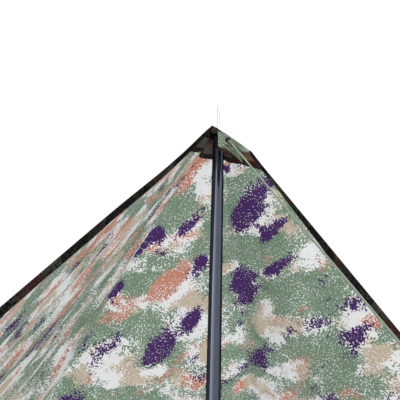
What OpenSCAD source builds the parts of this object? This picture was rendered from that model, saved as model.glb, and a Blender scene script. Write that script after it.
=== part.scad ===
// One-sheet teepee tent on a telescoping pole, pegged out on the ground at z = 0.
// The pole stands on the origin. The open front faces -Y, and X runs across it.

/* [Canopy] */
// Height of the peak above the ground
peak_height = 1500; // [1300:10:1700]
// Half the width of the open front, along the ground
front_half_width = 1045; // [900:5:1200]
// How far the front corners stand in front of the pole
front_reach = 270; // [200:5:350]
// Half the width of the back wall, along the ground
back_half_width = 675; // [550:5:800]
// Distance from the pole to the foot of the back wall
back_reach = 1025; // [850:5:1200]
// Thickness of the wall solids that stand for the cloth
cloth_thickness = 0.8; // [0.6:0.1:1.5]
// Thickness of a hem or patch under the wall
hem_thickness = 1.2; // [0.8:0.1:2]
// Width of the folded hems
hem_width = 20; // [15:1:30]
// Share of the slope that the peak patch covers along the front edges
patch_share_front = 0.075; // [0.06:0.005:0.12]
// Share of the slope that the peak patch covers down the back
patch_share_back = 0.042; // [0.035:0.001:0.06]

/* [Pole] */
// Outside diameter of the upper tube
upper_diameter = 25; // [22:1:25]
// Outside diameter of the lower tube
lower_diameter = 29; // [29:1:32]
// Wall of both tubes
tube_wall = 1.5; // [1:0.1:1.5]
// Height of the top of the lower tube
lower_top = 850; // [800:10:900]
// Height of the bottom of the upper tube
upper_bottom = 640; // [600:10:700]
// Diameter of the steel pin above the peak
pin_diameter = 8; // [6:0.5:8]
// How far the pin stands above the peak
pin_rise = 65; // [40:1:80]

/* [Pegs and loops] */
// Diameter of the peg wire
peg_diameter = 6; // [5:0.5:7]
// Length of a peg in the ground
peg_depth = 150; // [120:5:200]
// Lean of a peg away from the tent
peg_lean = 15; // [5:1:20]
// Distance from the hem to a peg
loop_reach = 62; // [50:1:80]
// Width of the webbing loops
webbing_width = 20; // [16:1:24]

/* [Guyline] */
// Diameter of the guyline
line_diameter = 3.5; // [3:0.5:4]
// Distance from the peg to the tensioner along the line
tensioner_reach = 330; // [250:10:360]

/* [Hidden] */
$fn = 48;

// Corners of the canopy, for the left half; the right half mirrors it
peak = [0, 0, peak_height];
front_left = [-front_half_width, -front_reach, 0];
back_left = [-back_half_width, back_reach, 0];
back_right = [back_half_width, back_reach, 0];

function along(p, q, share) = p + share * (q - p);
function unit(v) = v / norm(v);

// The walls stop at this share of the slope, clear of the pole's top
top_share = 0.02;
side_run = unit(back_left - front_left);
side_distance = norm(cross(front_left, side_run));
// How far a layer drops for each millimetre of its thickness
drop_per_mm = norm([side_distance, peak_height]) / side_distance;
cloth_drop = cloth_thickness * drop_per_mm;
// A hair of space keeps a hem or patch clear of the wall that it is sewn to
seam_gap = 0.05;
seam_drop = cloth_drop + seam_gap * drop_per_mm;
hem_drop = seam_drop + hem_thickness * drop_per_mm;
// The front hem's width, measured along the ground
corner_cosine = unit(peak - front_left) * side_run;
hem_run = hem_width / sqrt(1 - corner_cosine * corner_cosine) * side_run;
// The bottom hems' height as a share of the slope
hem_share = hem_width / norm([side_distance, peak_height]);

// A flat piece between two pyramids that share the walls' slopes.
// points lie on the outer face, anticlockwise from outside; each drop lowers the peak.
module layer(points, outer_drop, inner_drop) {
    count = len(points);
    outer_scale = 1 - outer_drop / peak_height;
    inner_scale = 1 - inner_drop / peak_height;
    corners = concat([for (p = points) p * outer_scale], [for (p = points) p * inner_scale]);
    outer_face = [for (i = [count - 1:-1:0]) i];
    inner_face = [for (i = [0:count - 1]) count + i];
    sides = [for (i = [0:count - 1]) [i, (i + 1) % count, count + (i + 1) % count, count + i]];
    polyhedron(points = corners, faces = concat([outer_face, inner_face], sides));
}

// Canopy walls
module side_wall() {
    layer([
        along(peak, back_left, top_share), back_left,
        front_left, along(peak, front_left, top_share)
    ], 0, cloth_drop);
}

module canopy_left() {
    color("darkseagreen") side_wall();
}

module canopy_right() {
    color("darkseagreen") mirror([1, 0, 0]) side_wall();
}

module canopy_back() {
    color("darkseagreen") layer([
        along(peak, back_right, top_share), back_right,
        back_left, along(peak, back_left, top_share)
    ], 0, cloth_drop);
}

// Folded hems, under the walls
module front_hem() {
    top = along(peak, front_left, top_share);
    layer([top + hem_run, front_left + hem_run, front_left, top], seam_drop, hem_drop);
}

module side_hem() {
    start = front_left + hem_run;
    layer([
        along(back_left, peak, hem_share), back_left,
        start, start + hem_share * (peak - front_left)
    ], seam_drop, hem_drop);
}

module hem_front_left() {
    color("saddlebrown") front_hem();
}

module hem_front_right() {
    color("saddlebrown") mirror([1, 0, 0]) front_hem();
}

module hem_bottom_left() {
    color("saddlebrown") side_hem();
}

module hem_bottom_right() {
    color("saddlebrown") mirror([1, 0, 0]) side_hem();
}

module hem_bottom_back() {
    color("saddlebrown") layer([
        along(back_right, peak, hem_share), back_right,
        back_left, along(back_left, peak, hem_share)
    ], seam_drop, hem_drop);
}

// Reinforcement under the peak, in three facets that meet on the ridges
module side_patch() {
    layer([
        along(peak, back_left, top_share), along(peak, back_left, patch_share_back),
        along(peak, front_left, patch_share_front) + hem_run,
        along(peak, front_left, top_share) + hem_run
    ], seam_drop, hem_drop);
}

module peak_patch() {
    // The back facet laps over the side facets by a hair, so that the three are one
    lap = [0.05, 0, 0];
    color("sienna") {
        side_patch();
        mirror([1, 0, 0]) side_patch();
        layer([
            along(peak, back_right, top_share) + lap, along(peak, back_right, patch_share_back) + lap,
            along(peak, back_left, patch_share_back) - lap, along(peak, back_left, top_share) - lap
        ], seam_drop, hem_drop);
    }
}

// Pole: heights of its top pieces, where the cap and grommet sit down inside the peak
tube_drop = 68;
cap_height = 38;
upper_top = peak_height - tube_drop;
plug_top = upper_top + cap_height;
grommet_bottom = plug_top + 2;
grommet_height = 4;
pin_top = peak_height + pin_rise;
pin_socket = 26;
pin_point = 4;
tube_fit = 0.1;
upper_radius = upper_diameter / 2;
upper_bore = upper_radius - tube_wall;
lower_radius = lower_diameter / 2;
lower_bore = lower_radius - tube_wall;
pin_radius = pin_diameter / 2;
pin_base_radius = pin_radius + 1;

module tube(outer, inner, bottom, top) {
    translate([0, 0, bottom]) difference() {
        cylinder(r = outer, h = top - bottom);
        translate([0, 0, -1]) cylinder(r = inner, h = top - bottom + 2);
    }
}

module pole_upper() {
    color("slategray") tube(upper_radius, upper_bore, upper_bottom, upper_top);
}

// Plastic cap, flush with the tube, with a stub in it, a rounded shoulder and a socket for the pin
plug_depth = 34;
shoulder = 5;
module pole_top_plug() {
    color("black") difference() {
        rotate_extrude() union() {
            translate([0, upper_top - plug_depth]) square([upper_bore - tube_fit, plug_depth]);
            translate([0, upper_top]) square([upper_radius, plug_top - upper_top - shoulder]);
            translate([0, plug_top - shoulder]) square([upper_radius - shoulder, shoulder]);
            translate([upper_radius - shoulder, plug_top - shoulder]) intersection() {
                circle(r = shoulder);
                square(shoulder);
            }
        }
        translate([0, 0, plug_top - pin_socket])
            cylinder(r = pin_base_radius + tube_fit, h = pin_socket + 1);
    }
}

// Steel pin, thicker where it sits in the plug and the grommet
module tip_pin() {
    base_bottom = plug_top - pin_socket;
    base_top = grommet_bottom + grommet_height;
    color("gainsboro") {
        translate([0, 0, base_bottom]) cylinder(r = pin_base_radius, h = base_top - base_bottom);
        translate([0, 0, base_top]) cylinder(r = pin_radius, h = pin_top - pin_point - base_top);
        translate([0, 0, pin_top - pin_point])
            cylinder(r1 = pin_radius, r2 = pin_radius / 2, h = pin_point);
    }
}

// Metal grommet in the peak, which rests on the plug around the pin
grommet_radius = 11;
grommet_play = 0.6;
module peak_grommet() {
    hole = pin_base_radius + grommet_play;
    color("dimgray") tube(grommet_radius, hole, grommet_bottom, grommet_bottom + grommet_height);
}

// Plastic guide on the bottom of the upper tube, which runs in the lower tube
guide_height = 16;
module pole_guide_plug() {
    color("black") {
        translate([0, 0, upper_bottom - guide_height])
            cylinder(r = lower_bore - tube_fit, h = guide_height);
        translate([0, 0, upper_bottom]) cylinder(r = upper_bore - tube_fit, h = guide_height);
    }
}

// Rubber foot, with a socket for the lower tube
foot_radius = 19;
foot_height = 42;
foot_sole = 12;
module pole_foot() {
    color("black") difference() {
        cylinder(r1 = foot_radius, r2 = lower_radius + 2.5, h = foot_height);
        translate([0, 0, foot_sole]) cylinder(r = lower_radius + tube_fit, h = foot_height);
    }
}

module pole_lower() {
    color("slategray") tube(lower_radius, lower_bore, foot_sole, lower_top);
}

// Clamp: a split collar that a cam lever squeezes on the upper tube
collar_radius = lower_radius + 4;
collar_bottom = lower_top - 26;
collar_top = lower_top + 20;
collar_split = 3;
ear_length = 17;
ear_width = 8;
ear_middle = (collar_bottom + collar_top) / 2;
screw_y = -collar_radius - ear_length / 2;
screw_radius = 2.5;
pivot_x = ear_width + collar_split / 2 + 8;
pivot_radius = 2;
pivot_fit = 0.05;
cam_radius = 6;
cam_height = 26;
eye_radius = 5;
eye_height = 4;
lever_thickness = 4;
lever_gap = 1;

module clamp_collar() {
    color("black") difference() {
        union() {
            translate([0, 0, collar_bottom]) cylinder(r = collar_radius, h = collar_top - collar_bottom);
            translate([-ear_width - collar_split / 2, -collar_radius - ear_length, collar_bottom + 4])
                cube([2 * ear_width + collar_split, ear_length + 6, collar_top - collar_bottom - 8]);
        }
        translate([0, 0, collar_bottom - 1])
            cylinder(r = lower_radius + tube_fit, h = lower_top - collar_bottom + 1.5);
        translate([0, 0, lower_top]) cylinder(r = upper_radius + tube_fit, h = collar_top - lower_top + 1);
        translate([-collar_split / 2, -collar_radius - ear_length - 1, collar_bottom - 1])
            cube([collar_split, collar_radius + ear_length + 1, collar_top - collar_bottom + 2]);
        translate([0, screw_y, ear_middle]) rotate([0, 90, 0])
            cylinder(r = screw_radius + tube_fit, h = 4 * ear_width, center = true);
    }
}

// Screw across the ears, with a head on the left and an eye on the right
screw_head = 4;
module clamp_screw() {
    head_x = -ear_width - collar_split / 2 - screw_head;
    color("silver") difference() {
        union() {
            translate([head_x, screw_y, ear_middle]) rotate([0, 90, 0]) cylinder(r = 5, h = screw_head);
            translate([head_x, screw_y, ear_middle]) rotate([0, 90, 0])
                cylinder(r = screw_radius, h = pivot_x - head_x - eye_radius + 1);
            translate([pivot_x, screw_y, ear_middle - eye_height / 2])
                cylinder(r = eye_radius, h = eye_height);
        }
        translate([pivot_x, screw_y, ear_middle - eye_height])
            cylinder(r = pivot_radius + pivot_fit, h = 2 * eye_height);
    }
}

module clamp_pin() {
    color("silver") translate([pivot_x, screw_y, ear_middle - cam_height / 2])
        cylinder(r = pivot_radius, h = cam_height);
}

// Cam barrel on the pin, with an arm that lies beside the collar when it is shut
slot_half = screw_radius + 0.6;
arm_reach = 52;
module clamp_lever() {
    color("crimson") difference() {
        translate([pivot_x, screw_y, ear_middle - cam_height / 2]) {
            cylinder(r = cam_radius, h = cam_height);
            translate([cam_radius - lever_thickness, 0, 0]) cube([lever_thickness, arm_reach, cam_height]);
        }
        translate([pivot_x, screw_y, ear_middle - cam_height])
            cylinder(r = pivot_radius + pivot_fit, h = 2 * cam_height);
        translate([pivot_x - 2 * cam_radius, screw_y - eye_radius - lever_gap, ear_middle - slot_half])
            cube([2 * cam_radius + eye_radius + 0.4, 2 * (eye_radius + lever_gap), 2 * slot_half]);
    }
}

// Pegs: each place is a point on the hem and the level direction away from the tent
peg_places = [
    [front_left, unit([-0.8, -0.6, 0])],
    [along(front_left, back_left, 0.5), unit([-side_run[1], side_run[0], 0])],
    [back_left, unit([-0.7, 0.7, 0])],
    [[0, back_reach, 0], [0, 1, 0]]
];
guyline_peg_place = [[399.5, -829, 0], unit([0.434, -0.901, 0])];

hook_radius = 9;
hook_height = 24;
hook_tail = 8;
peg_point = 14;
module peg(place, away) {
    peg_radius = peg_diameter / 2;
    translate(place) rotate([0, 0, atan2(away[1], away[0])]) rotate([0, peg_lean, 0]) {
        translate([0, 0, peg_point - peg_depth])
            cylinder(r = peg_radius, h = peg_depth - peg_point + hook_height);
        translate([0, 0, -peg_depth]) cylinder(r1 = 0.6, r2 = peg_radius, h = peg_point);
        translate([hook_radius, 0, hook_height]) rotate([90, 0, 0]) rotate_extrude(angle = 180)
            translate([hook_radius, 0]) circle(r = peg_radius);
        translate([2 * hook_radius, 0, hook_height - hook_tail]) cylinder(r = peg_radius, h = hook_tail);
    }
}

module hem_peg(i) {
    color("silver") peg(peg_places[i][0] + loop_reach * peg_places[i][1], peg_places[i][1]);
}

module peg_front_left() { hem_peg(0); }
module peg_front_right() { mirror([1, 0, 0]) hem_peg(0); }
module peg_side_left() { hem_peg(1); }
module peg_side_right() { mirror([1, 0, 0]) hem_peg(1); }
module peg_back_left() { hem_peg(2); }
module peg_back_right() { mirror([1, 0, 0]) hem_peg(2); }
module peg_back_middle() { hem_peg(3); }
module peg_guyline() {
    color("silver") peg(guyline_peg_place[0], guyline_peg_place[1]);
}

// Webbing loops sewn to the hem, flat just above the ground, with a hole for the peg
loop_clearance = 1;
loop_thickness = 2;
loop_hole = peg_diameter / 2 + 2;
module webbing_loop(i) {
    away = peg_places[i][1];
    color("darkolivegreen") translate(peg_places[i][0] + [0, 0, loop_clearance])
        rotate([0, 0, atan2(away[1], away[0])]) difference() {
            union() {
                translate([0, -webbing_width / 2, 0]) cube([loop_reach, webbing_width, loop_thickness]);
                translate([loop_reach, 0, 0]) cylinder(r = webbing_width / 2, h = loop_thickness);
            }
            translate([loop_reach, 0, -1]) cylinder(r = loop_hole, h = loop_thickness + 2);
        }
}

module loop_front_left() { webbing_loop(0); }
module loop_front_right() { mirror([1, 0, 0]) webbing_loop(0); }
module loop_side_left() { webbing_loop(1); }
module loop_side_right() { mirror([1, 0, 0]) webbing_loop(1); }
module loop_back_left() { webbing_loop(2); }
module loop_back_right() { mirror([1, 0, 0]) webbing_loop(2); }
module loop_back_middle() { webbing_loop(3); }

// Guyline: down from the tab, once round its peg, and back up beside itself to a knot
line_route = [
    [14, -35, 1438], [93, -200, 1144], [187.5, -399, 791],
    [396, -836, 14], [397.5, -837, 11], [400.5, -837.5, 9], [403.5, -836, 8.5],
    [406.5, -834.5, 9], [408, -832, 11], [408, -830, 14], [317, -639, 353.5]
];
line_top = line_route[0];
line_low = line_route[3];
line_back = line_route[9];
line_end = line_route[10];
line_axis = unit(line_low - line_top);

// Puts a shape at place with its Z along axis, turned by spin about it
module facing(place, axis, spin) {
    translate(place) rotate([0, acos(axis[2]), atan2(axis[1], axis[0])]) rotate([0, 0, spin]) children();
}

line_sides = 8;
function sideways(axis) = unit(cross(axis, [0, 0, 1]));
function ring(p, axis) = let (a = sideways(axis), b = cross(axis, a))
    [for (k = [0:line_sides - 1]) p + line_diameter / 2
        * (cos(k * 360 / line_sides) * a + sin(k * 360 / line_sides) * b)];
function heading(route, i) =
    unit(route[min(i + 1, len(route) - 1)] - route[max(i - 1, 0)]);

module guyline() {
    count = len(line_route);
    rings = [for (i = [0:count - 1]) each ring(line_route[i], heading(line_route, i))];
    start_face = [for (k = [0:line_sides - 1]) k];
    end_face = [for (k = [line_sides - 1:-1:0]) (count - 1) * line_sides + k];
    sides = [for (i = [0:count - 2], k = [0:line_sides - 1])
        let (a = i * line_sides + k, b = i * line_sides + (k + 1) % line_sides)
            [a, a + line_sides, b + line_sides, b]];
    color("darkseagreen") polyhedron(points = rings, faces = concat([start_face, end_face], sides));
}

knot_radius = 4.8;
module guyline_knot() {
    color("wheat") translate(line_top) sphere(r = knot_radius);
}

module guyline_end_knot() {
    color("wheat") translate(line_end) sphere(r = knot_radius);
}

// Tensioner: a plate across both strands, with a hole for each
strand_gap = norm(line_back - line_low);
tensioner_width = 12;
tensioner_thickness = 5;
tensioner_play = 0.6;
module guyline_tensioner() {
    middle = (line_low + line_back) / 2 - tensioner_reach * line_axis;
    color("black") facing(middle, -line_axis, 0)
        translate([0, 0, -tensioner_thickness / 2]) difference() {
            union() {
                translate([-tensioner_width / 2, -strand_gap / 2, 0])
                    cube([tensioner_width, strand_gap, tensioner_thickness]);
                for (side = [-1, 1]) translate([0, side * strand_gap / 2, 0])
                    cylinder(r = tensioner_width / 2, h = tensioner_thickness);
            }
            for (side = [-1, 1]) translate([0, side * strand_gap / 2, -1])
                cylinder(r = line_diameter / 2 + tensioner_play, h = tensioner_thickness + 2);
        }
}

// Tie-out tab: folded cloth in front of the pole's top, in line with the guyline
tab_spin = 103;
tab_width = 24;
tab_thickness = 3;
tab_above = 25;
tab_below = 12;
tab_offset = 7;
eyelet_outer = 5.5;
eyelet_inner = 2.6;
eyelet_height = 4;
// Where facing() puts the local X axis
function facing_x(axis, spin) =
    let (tilt = acos(axis[2]), turn = atan2(axis[1], axis[0]))
        [cos(tilt) * cos(turn) * cos(spin) - sin(turn) * sin(spin),
         cos(tilt) * sin(turn) * cos(spin) + cos(turn) * sin(spin),
         -sin(tilt) * cos(spin)];
tab_place = line_top - tab_offset * facing_x(-line_axis, tab_spin);
module peak_tab() {
    color("darkseagreen") facing(tab_place, -line_axis, tab_spin) difference() {
        translate([-tab_thickness / 2, -tab_width / 2, -tab_below])
            cube([tab_thickness, tab_width, tab_below + tab_above]);
        rotate([0, 90, 0]) cylinder(r = eyelet_outer, h = 3 * tab_thickness, center = true);
    }
}

module tab_eyelet() {
    color("black") facing(tab_place, -line_axis, tab_spin) rotate([0, 90, 0]) difference() {
        cylinder(r = eyelet_outer, h = eyelet_height, center = true);
        cylinder(r = eyelet_inner, h = 2 * eyelet_height, center = true);
    }
}

canopy_left();
canopy_back();
canopy_right();
hem_front_left();
hem_front_right();
hem_bottom_left();
hem_bottom_back();
hem_bottom_right();
peak_patch();
peak_tab();
tab_eyelet();
peak_grommet();
pole_upper();
pole_top_plug();
tip_pin();
pole_guide_plug();
pole_lower();
pole_foot();
clamp_collar();
clamp_screw();
clamp_pin();
clamp_lever();
loop_front_left();
loop_front_right();
loop_side_left();
loop_side_right();
loop_back_left();
loop_back_right();
loop_back_middle();
peg_front_left();
peg_front_right();
peg_side_left();
peg_side_right();
peg_back_left();
peg_back_right();
peg_back_middle();
peg_guyline();
guyline();
guyline_knot();
guyline_end_knot();
guyline_tensioner();
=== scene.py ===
"""A one-sheet teepee tent, open at the front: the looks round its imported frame. Metres, +Z up."""
import math

import bmesh
import bpy
import numpy as np
from mathutils import Matrix, Vector


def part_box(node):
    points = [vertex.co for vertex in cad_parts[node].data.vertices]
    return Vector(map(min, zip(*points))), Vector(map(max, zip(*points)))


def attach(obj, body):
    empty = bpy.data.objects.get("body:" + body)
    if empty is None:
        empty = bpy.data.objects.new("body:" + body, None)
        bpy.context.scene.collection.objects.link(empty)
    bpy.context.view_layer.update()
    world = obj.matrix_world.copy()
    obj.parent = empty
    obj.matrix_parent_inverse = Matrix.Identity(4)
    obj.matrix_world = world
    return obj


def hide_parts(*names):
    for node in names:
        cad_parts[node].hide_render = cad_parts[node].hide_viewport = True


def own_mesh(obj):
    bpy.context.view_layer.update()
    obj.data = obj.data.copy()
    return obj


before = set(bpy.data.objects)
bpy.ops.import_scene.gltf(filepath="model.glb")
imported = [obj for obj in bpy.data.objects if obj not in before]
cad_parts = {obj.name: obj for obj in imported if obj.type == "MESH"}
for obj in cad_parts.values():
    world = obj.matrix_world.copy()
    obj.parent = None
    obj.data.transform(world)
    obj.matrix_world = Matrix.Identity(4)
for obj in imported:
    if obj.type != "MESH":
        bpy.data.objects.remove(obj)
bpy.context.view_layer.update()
scene = bpy.context.scene


# ---- small helpers
def unit(v):
    v = np.asarray(v, float)
    return v / np.linalg.norm(v)


def units(v):
    return v / np.linalg.norm(v, axis=-1)[..., None]


def paired(u, s):
    return np.broadcast_arrays(np.asarray(u, float), np.asarray(s, float))


def full_turn(count):
    """So many even steps of a turn."""
    return np.linspace(0, 2 * math.pi, count + 1)[:-1]


def point_between(x, knots, points):
    """np.interp for points in space."""
    return np.stack([np.interp(x, knots, points[:, k]) for k in range(3)], -1)


def smooth_step(x):
    x = np.clip(x, 0, 1)
    return x * x * (3 - 2 * x)


def outward_first(mesh, weld=0.0):
    """Turn a closed skin's faces outwards; a weld joins points that meet, and drops the walls left inside."""
    form = bmesh.new()
    form.from_mesh(mesh)
    if weld > 0:
        bmesh.ops.remove_doubles(form, verts=form.verts, dist=weld)
        walls = [f for f in form.faces if sum(len(e.link_faces) > 2 for e in f.edges) > 1]
        bmesh.ops.delete(form, geom=walls, context="FACES")
    bmesh.ops.recalc_face_normals(form, faces=form.faces)
    form.to_mesh(mesh)
    form.free()


def placed(name, data):
    """A new object, in the scene."""
    made = bpy.data.objects.new(name, data)
    scene.collection.objects.link(made)
    return made


def new_piece(name, points, faces, materials, face_slots=None, sharp=40, attributes=None, weld=0.0):
    """A mesh object at the origin, smooth but for edges sharper than so many degrees."""
    mesh = bpy.data.meshes.new(name)
    mesh.from_pydata([tuple(p) for p in np.asarray(points).reshape(-1, 3)], [], faces)
    for material in materials:
        mesh.materials.append(material)
    mesh.polygons.foreach_set("use_smooth", [True] * len(mesh.polygons))
    if face_slots is not None:
        mesh.polygons.foreach_set("material_index", face_slots)
    for key, values in (attributes or {}).items():
        layer = mesh.attributes.new(key, "FLOAT_VECTOR", "POINT")
        layer.data.foreach_set("vector", np.asarray(values, np.float32).ravel())
    outward_first(mesh, weld)
    mesh.update()
    mesh.set_sharp_from_angle(angle=math.radians(sharp))
    return placed(name, mesh)


def shell(outer, inner):
    """A closed skin between two grids of points: its points and its faces, those of the first grid first."""
    rows, cols = outer.shape[:2]
    count = rows * cols
    at = np.arange(count).reshape(rows, cols)
    quads = np.stack([at[:-1, :-1], at[1:, :-1], at[1:, 1:], at[:-1, 1:]], -1).reshape(-1, 4)
    faces = [list(map(int, q)) for q in quads]
    faces += [[int(count + i) for i in q[::-1]] for q in quads]
    rim = list(at[0, ::-1]) + list(at[1:, 0]) + list(at[-1, 1:]) + list(at[-2:0:-1, -1])
    for a, b in zip(rim, rim[1:] + rim[:1]):
        faces.append([int(b), int(a), int(count + a), int(count + b)])
    return np.concatenate([outer.reshape(-1, 3), inner.reshape(-1, 3)]), faces


def loft(loops):
    """A closed skin through rings of points, capped at both ends."""
    rows, cols = loops.shape[:2]
    faces = []
    for i in range(rows - 1):
        for k in range(cols):
            n = (k + 1) % cols
            faces.append([i * cols + k, i * cols + n, (i + 1) * cols + n, (i + 1) * cols + k])
    faces.append(list(range(cols - 1, -1, -1)))
    faces.append(list(range((rows - 1) * cols, rows * cols)))
    return loops.reshape(-1, 3), faces


def tube(path, radius, sides=12):
    """Rings round a path, kept from twisting by carrying one direction along."""
    ahead = units(np.gradient(path, axis=0))
    side = unit(np.cross(ahead[0], (0.3, 0.2, 0.93)))
    turns = full_turn(sides)
    rings = []
    for p, d in zip(path, ahead):
        side = unit(side - d * (side @ d))
        up = np.cross(d, side)
        rings.append(p + radius * (np.cos(turns)[:, None] * side + np.sin(turns)[:, None] * up))
    return np.array(rings)


def joined(parts):
    """Several (points, faces) as one."""
    points, faces = [], []
    for part_points, part_faces in parts:
        start = sum(len(p) for p in points)
        points.append(np.asarray(part_points, float).reshape(-1, 3))
        faces += [[start + i for i in f] for f in part_faces]
    return np.concatenate(points), faces


def resampled(path, step):
    """The same line with points a step apart."""
    path = np.asarray(path, float)
    run = np.concatenate([[0], np.cumsum(np.linalg.norm(np.diff(path, axis=0), axis=1))])
    wanted = np.linspace(0, run[-1], int(run[-1] / step) + 1)
    return point_between(wanted, run, path)


# ---- camera
CAMERA_PLACE = (-0.281, -0.770, 0.834)
CAMERA_AZIMUTH = -17.57
CAMERA_PITCH = 30
CAMERA_ROLL = 2.38
CAMERA_LENS = 41.22
CAMERA_SENSOR = 36
CAMERA_NEAREST = 0.02


def add_camera():
    data = bpy.data.cameras.new("camera")
    data.lens = CAMERA_LENS
    data.sensor_width = CAMERA_SENSOR
    data.clip_start = CAMERA_NEAREST
    camera = placed("camera", data)
    turn = Matrix.Rotation(math.radians(CAMERA_AZIMUTH), 4, "Z")
    tilt = Matrix.Rotation(math.radians(90 + CAMERA_PITCH), 4, "X")
    roll = Matrix.Rotation(math.radians(CAMERA_ROLL), 4, "Z")
    camera.matrix_world = Matrix.Translation(CAMERA_PLACE) @ turn @ tilt @ roll
    scene.camera = camera


add_camera()


# ---- material helpers
def node(tree, kind, inputs=None, **settings):
    made = tree.nodes.new("ShaderNode" + kind)
    for key, value in settings.items():
        setattr(made, key, value)
    for key, value in (inputs or {}).items():
        socket = made.inputs[key]
        if isinstance(value, bpy.types.NodeSocket):
            tree.links.new(value, socket)
        else:
            socket.default_value = value
    return made


def maths(tree, operation, a, b=0.0):
    return node(tree, "Math", {0: a, 1: b}, operation=operation).outputs[0]


def product(tree, a, b):
    return maths(tree, "MULTIPLY", a, b)


def total(tree, a, b):
    return maths(tree, "ADD", a, b)


def less(tree, a, b):
    return maths(tree, "SUBTRACT", a, b)


def noise(tree, place, scale, detail):
    return node(tree, "TexNoise", {"Vector": place, "Scale": scale, "Detail": detail}).outputs[0]


def stretched(tree, place, move=(0, 0, 0), turn=0.0, stretch=(1, 1, 1)):
    """The same place moved, turned and stretched: a pattern on it comes out that much longer."""
    inputs = {"Vector": place, "Location": move, "Rotation": (0, 0, math.radians(turn)), "Scale": stretch}
    return node(tree, "Mapping", inputs, vector_type="TEXTURE").outputs[0]


def ramp(tree, value, start=0, end=1, low=0, high=1):
    """low where value is under start, high where it is over end, and straight between."""
    inputs = {"Value": value, "From Min": start, "From Max": end, "To Min": low, "To Max": high}
    return node(tree, "MapRange", inputs).outputs[0]


def above(tree, value, bar, soft=0.012):
    """0 where value is under the bar and 1 where it is over, with a short ramp between."""
    return ramp(tree, value, bar - soft, bar + soft)


def mixed(tree, share, a, b):
    a, b = ((*c, 1) if isinstance(c, tuple) else c for c in (a, b))
    return node(tree, "Mix", {0: share, 6: a, 7: b}, data_type="RGBA").outputs[2]


def bump(tree, height, distance, strength, normal=None):
    inputs = {"Height": height, "Distance": distance, "Strength": strength}
    if normal is not None:
        inputs["Normal"] = normal
    return node(tree, "Bump", inputs).outputs[0]


def emptied(owner):
    """A material's or a world's node tree, with nothing in it."""
    owner.use_nodes = True
    owner.node_tree.nodes.clear()
    return owner.node_tree


def new_material(name):
    material = bpy.data.materials.new(name)
    return material, emptied(material)


def attribute(tree, name):
    return node(tree, "Attribute", attribute_name=name).outputs["Vector"]


def object_place(tree):
    return node(tree, "TexCoord").outputs["Object"]


def axes_of(tree, vector):
    return node(tree, "SeparateXYZ", {0: vector}).outputs


def ripple(tree, value, pitch):
    return maths(tree, "SINE", product(tree, value, 2 * math.pi / pitch))


def times(colour, share):
    return tuple(c * share for c in colour)


def principled(tree, inputs):
    return node(tree, "BsdfPrincipled", inputs).outputs[0]


def finished(material, shader):
    """The material, once its shader is joined to the output."""
    output = node(material.node_tree, "OutputMaterial")
    material.node_tree.links.new(shader, output.inputs["Surface"])
    return material


# ---- the print
# Each print's five inks: pale, sand, green, rust and dark
INSIDE_PRINT = [(0.71, 0.72, 0.74), (0.48, 0.405, 0.31), (0.165, 0.245, 0.17), (0.49, 0.215, 0.145),
                (0.060, 0.022, 0.115)]
OUTSIDE_PRINT = [(0.30, 0.25, 0.18), (0.17, 0.14, 0.085), (0.055, 0.075, 0.035), (0.075, 0.028, 0.018),
                 (0.012, 0.011, 0.012)]
# The hem print is the outside print darkened to a few tenths: painted shade for hems that face inwards in
# shadow
HEM_PRINT_IN_PAINTED_SHADE = [(0.050, 0.044, 0.036), (0.016, 0.012, 0.010), (0.010, 0.012, 0.011), (0.040, 0.010, 0.009),
             (0.004, 0.004, 0.005)]
PATCH_PRINT = [(0.13, 0.13, 0.12), (0.115, 0.070, 0.048), (0.045, 0.055, 0.045), (0.170, 0.088, 0.060),
               (0.004, 0.004, 0.005)]
TAB_PRINT = [(0.36, 0.41, 0.36), (0.20, 0.25, 0.17), (0.145, 0.20, 0.135), (0.11, 0.13, 0.075),
             (0.035, 0.045, 0.028)]
# Noise on the cloth: the sprayed and the ragged part of each patch's edge, and the unprinted specks
SPRAY_SCALE, SPRAY_SIZE = 250, 0.40
RAGGED_SCALE, RAGGED_SIZE = 75, 0.26
SPECK_SCALE, SPECK_CLOUD_SCALE, SPECK_CLOUD_SIZE = 310, 22, 0.25
SPECK_BAR_UNDER_DARK, SPECK_BAR_OVER_ALL = 0.745, 0.80
INK_EDGE = 0.006
STITCH_PITCH, STITCH_WIDTH, STITCH_HEIGHT = 0.004, 0.0006, 0.0004
YARN_PITCH, YARN_HEIGHT = 0.0011, 0.00006
WHITE = (0.95, 0.95, 0.95, 1)


def camouflage(tree, colours):
    """Five colours in ragged patches with sprayed edges, on the cloth's own flat coordinates."""
    pale, sand, green, rust, dark = colours
    cloth = attribute(tree, "cloth")
    towards = axes_of(tree, attribute(tree, "lean"))
    spray = less(tree, noise(tree, cloth, SPRAY_SCALE, 1), 0.5)
    ragged = less(tree, noise(tree, cloth, RAGGED_SCALE, 2), 0.5)
    rough = total(tree, product(tree, spray, SPRAY_SIZE), product(tree, ragged, RAGGED_SIZE))

    def patches(move, scale, turn, long, bar, pull=None):
        place = stretched(tree, cloth, (move, 0.37 * move, 0), turn, (long, 1, 1))
        value = total(tree, noise(tree, place, scale, 1.5), rough)
        if pull is not None:
            value = total(tree, value, pull)
        return above(tree, value, bar, INK_EDGE)

    cloud = product(tree, noise(tree, cloth, SPECK_CLOUD_SCALE, 1), SPECK_CLOUD_SIZE)
    specks = total(tree, noise(tree, stretched(tree, cloth, (5, 5, 0)), SPECK_SCALE, 1), cloud)
    paint = mixed(tree, patches(3.1, 17, 40, 1.5, 0.52), pale, sand)
    paint = mixed(tree, patches(7.7, 15, 35, 1.6, 0.485, towards[1]), paint, green)
    paint = mixed(tree, patches(11.3, 16, 50, 1.7, 0.635, towards[2]), paint, rust)
    paint = mixed(tree, above(tree, specks, SPECK_BAR_UNDER_DARK), paint, pale)
    paint = mixed(tree, patches(17.9, 16, 55, 1.9, 0.625, towards[0]), paint, dark)
    return mixed(tree, above(tree, specks, SPECK_BAR_OVER_ALL), paint, pale)


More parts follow.
